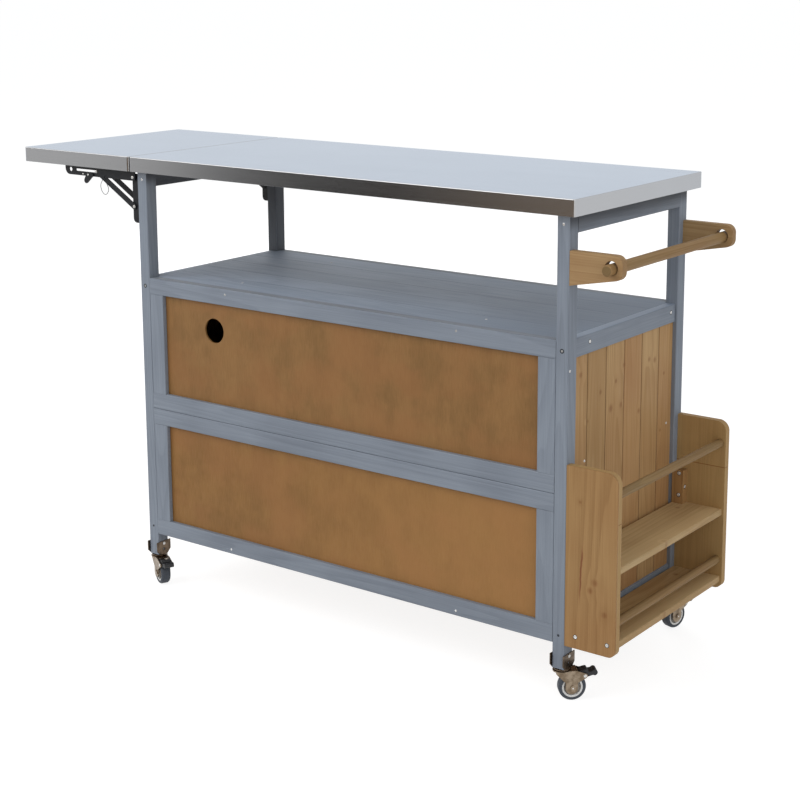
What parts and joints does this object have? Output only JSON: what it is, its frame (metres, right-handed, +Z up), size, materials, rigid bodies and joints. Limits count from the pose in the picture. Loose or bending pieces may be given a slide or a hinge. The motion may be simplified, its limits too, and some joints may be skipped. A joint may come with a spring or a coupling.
{
  "type": "outdoor kitchen cart",
  "caption": "Wheeled outdoor kitchen cart: steel worktop with a drop leaf on folding brackets, open deck, cabinet with doors, side rack and towel rod, on braked casters.",
  "frame": {"origin": "on the floor, under the middle of the four legs", "axes": "+X along the cart towards the rack and towel rod, +Y towards the doors, +Z up"},
  "size_m": [1.436, 0.4892, 0.9],
  "materials": {
    "grey_paint": "satin grey paint over wood grain",
    "oiled_wood": "oiled softwood with knots",
    "plywood": "stained plywood, matt",
    "board_core": "raw particle board",
    "steel_sheet": "brushed stainless sheet",
    "black_steel": "black powder coat",
    "zinc_steel": "bright zinc plate",
    "tyre_rubber": "dark grey rubber",
    "white_nylon": "white nylon",
    "black_plastic": "black moulded plastic",
    "hinge_brass": "plain brass"
  },
  "bodies": {
    "cart": {"back_frame_lower": "grey_paint", "back_frame_upper": "grey_paint", "back_panel_lower": "plywood", "back_panel_upper": "plywood", "bracket_wall_arms": "black_steel", "caster_saddles": "zinc_steel", "deck_boards": "grey_paint", "end_aprons": "grey_paint", "floor_boards": "oiled_wood", "front_rails": "grey_paint", "handle_brackets": "oiled_wood", "leg_back_left": "grey_paint", "leg_back_right": "grey_paint", "leg_front_left": "grey_paint", "leg_front_right": "grey_paint", "leg_hinges": "hinge_brass", "middle_shelf": "plywood", "rack_blocks": "oiled_wood", "rack_dowels": "oiled_wood", "rack_shelves": "oiled_wood", "rack_sides": "oiled_wood", "side_boards_left": "oiled_wood", "side_boards_right": "oiled_wood", "side_rails_left": "grey_paint", "side_rails_right": "grey_paint", "support_battens": "oiled_wood", "worktop_core": "board_core", "worktop_steel": "steel_sheet"},
    "leaf": {"leaf_steel": "steel_sheet", "leaf_core": "board_core", "leaf_arms": "black_steel"},
    "strut_back": {"strut_back": "black_steel"},
    "strut_front": {"strut_front": "black_steel"},
    "release_lever_back": {"release_lever_back": "black_steel"},
    "release_lever_front": {"release_lever_front": "black_steel"},
    "towel_rod": {"towel_rod": "oiled_wood"},
    "door_left": {"door_left_frame": "grey_paint", "door_left_panel": "plywood", "door_left_knob": "oiled_wood", "door_left_hinges": "hinge_brass"},
    "door_right": {"door_right_frame": "grey_paint", "door_right_panel": "plywood", "door_right_knob": "oiled_wood", "door_right_hinges": "hinge_brass"},
    "caster_back_right": {"caster_back_right_fork": "zinc_steel"},
    "wheel_back_right": {"caster_back_right_hub": "white_nylon", "caster_back_right_tyre": "tyre_rubber"},
    "brake_back_right": {"caster_back_right_pedal": "black_plastic"},
    "caster_back_left": {"caster_back_left_fork": "zinc_steel"},
    "wheel_back_left": {"caster_back_left_hub": "white_nylon", "caster_back_left_tyre": "tyre_rubber"},
    "brake_back_left": {"caster_back_left_pedal": "black_plastic"},
    "caster_front_right": {"caster_front_right_fork": "zinc_steel"},
    "wheel_front_right": {"caster_front_right_hub": "white_nylon", "caster_front_right_tyre": "tyre_rubber"},
    "brake_front_right": {"caster_front_right_pedal": "black_plastic"},
    "caster_front_left": {"caster_front_left_fork": "zinc_steel"},
    "wheel_front_left": {"caster_front_left_hub": "white_nylon", "caster_front_left_tyre": "tyre_rubber"},
    "brake_front_left": {"caster_front_left_pedal": "black_plastic"}
  },
  "joints": [
    {"name": "leaf_fold", "type": "hinge", "parent": "cart", "child": "leaf", "pos_m": [-0.521, 0, 0.856], "axis": [0, -1, 0], "range_deg": [0, 90]},
    {"name": "strut_back_swing", "type": "hinge", "parent": "cart", "child": "strut_back", "pos_m": [-0.522, -0.195, 0.796], "axis": [0, -1, 0], "range_deg": [0, 120.96]},
    {"name": "lever_back_press", "type": "hinge", "parent": "leaf", "child": "release_lever_back", "pos_m": [-0.6485, -0.195, 0.852], "axis": [0, -1, 0], "range_deg": [0, 20], "stiffness_Nm_per_rad": 0.05, "springref_deg": -5.73},
    {"name": "strut_front_swing", "type": "hinge", "parent": "cart", "child": "strut_front", "pos_m": [-0.522, 0.195, 0.796], "axis": [0, -1, 0], "range_deg": [0, 120.96]},
    {"name": "lever_front_press", "type": "hinge", "parent": "leaf", "child": "release_lever_front", "pos_m": [-0.6485, 0.195, 0.852], "axis": [0, -1, 0], "range_deg": [0, 20], "stiffness_Nm_per_rad": 0.05, "springref_deg": -5.73},
    {"name": "towel_rod_draw", "type": "slide", "parent": "cart", "child": "towel_rod", "axis": [0, -1, 0], "range_m": [0, 0.4]},
    {"name": "door_left_swing", "type": "hinge", "parent": "cart", "child": "door_left", "pos_m": [-0.484, 0.2123, 0.38], "axis": [0, 0, 1], "range_deg": [0, 105]},
    {"name": "door_right_swing", "type": "hinge", "parent": "cart", "child": "door_right", "pos_m": [0.484, 0.2123, 0.38], "axis": [0, 0, -1], "range_deg": [0, 105]},
    {"name": "caster_back_right_swivel", "type": "hinge", "parent": "cart", "child": "caster_back_right", "pos_m": [0.4975, -0.195, 0.06], "axis": [0, 0, 1], "continuous": true},
    {"name": "wheel_back_right_roll", "type": "hinge", "parent": "caster_back_right", "child": "wheel_back_right", "pos_m": [0.5103, -0.18307, 0.025], "axis": [-0.682, 0.7314, 0], "continuous": true},
    {"name": "brake_back_right_press", "type": "hinge", "parent": "caster_back_right", "child": "brake_back_right", "pos_m": [0.52623, -0.16821, 0.04678], "axis": [-0.682, 0.7314, 0], "range_deg": [0, 18]},
    {"name": "caster_back_left_swivel", "type": "hinge", "parent": "cart", "child": "caster_back_left", "pos_m": [-0.4975, -0.195, 0.06], "axis": [0, 0, 1], "continuous": true},
    {"name": "wheel_back_left_roll", "type": "hinge", "parent": "caster_back_left", "child": "wheel_back_left", "pos_m": [-0.48177, -0.20267, 0.025], "axis": [0.4384, 0.8988, 0], "continuous": true},
    {"name": "brake_back_left_press", "type": "hinge", "parent": "caster_back_left", "child": "brake_back_left", "pos_m": [-0.4622, -0.21222, 0.04678], "axis": [0.4384, 0.8988, 0], "range_deg": [0, 18]},
    {"name": "caster_front_right_swivel", "type": "hinge", "parent": "cart", "child": "caster_front_right", "pos_m": [0.4975, 0.195, 0.06], "axis": [0, 0, 1], "continuous": true},
    {"name": "wheel_front_right_roll", "type": "hinge", "parent": "caster_front_right", "child": "wheel_front_right", "pos_m": [0.50232, 0.21182, 0.025], "axis": [-0.9613, 0.2756, 0], "continuous": true},
    {"name": "brake_front_right_press", "type": "hinge", "parent": "caster_front_right", "child": "brake_front_right", "pos_m": [0.50833, 0.23276, 0.04678], "axis": [-0.9613, 0.2756, 0], "range_deg": [0, 18]},
    {"name": "caster_front_left_swivel", "type": "hinge", "parent": "cart", "child": "caster_front_left", "pos_m": [-0.4975, 0.195, 0.06], "axis": [0, 0, 1], "continuous": true},
    {"name": "wheel_front_left_roll", "type": "hinge", "parent": "caster_front_left", "child": "wheel_front_left", "pos_m": [-0.4806, 0.19953, 0.025], "axis": [-0.2588, 0.9659, 0], "continuous": true},
    {"name": "brake_front_left_press", "type": "hinge", "parent": "caster_front_left", "child": "brake_front_left", "pos_m": [-0.45956, 0.20517, 0.04678], "axis": [-0.2588, 0.9659, 0], "range_deg": [0, 18]}
  ],
  "couplings": [
    {"joint": "strut_back_swing", "follows": "leaf_fold", "ratio": 1.3329},
    {"joint": "strut_front_swing", "follows": "leaf_fold", "ratio": 1.3329}
  ]
}
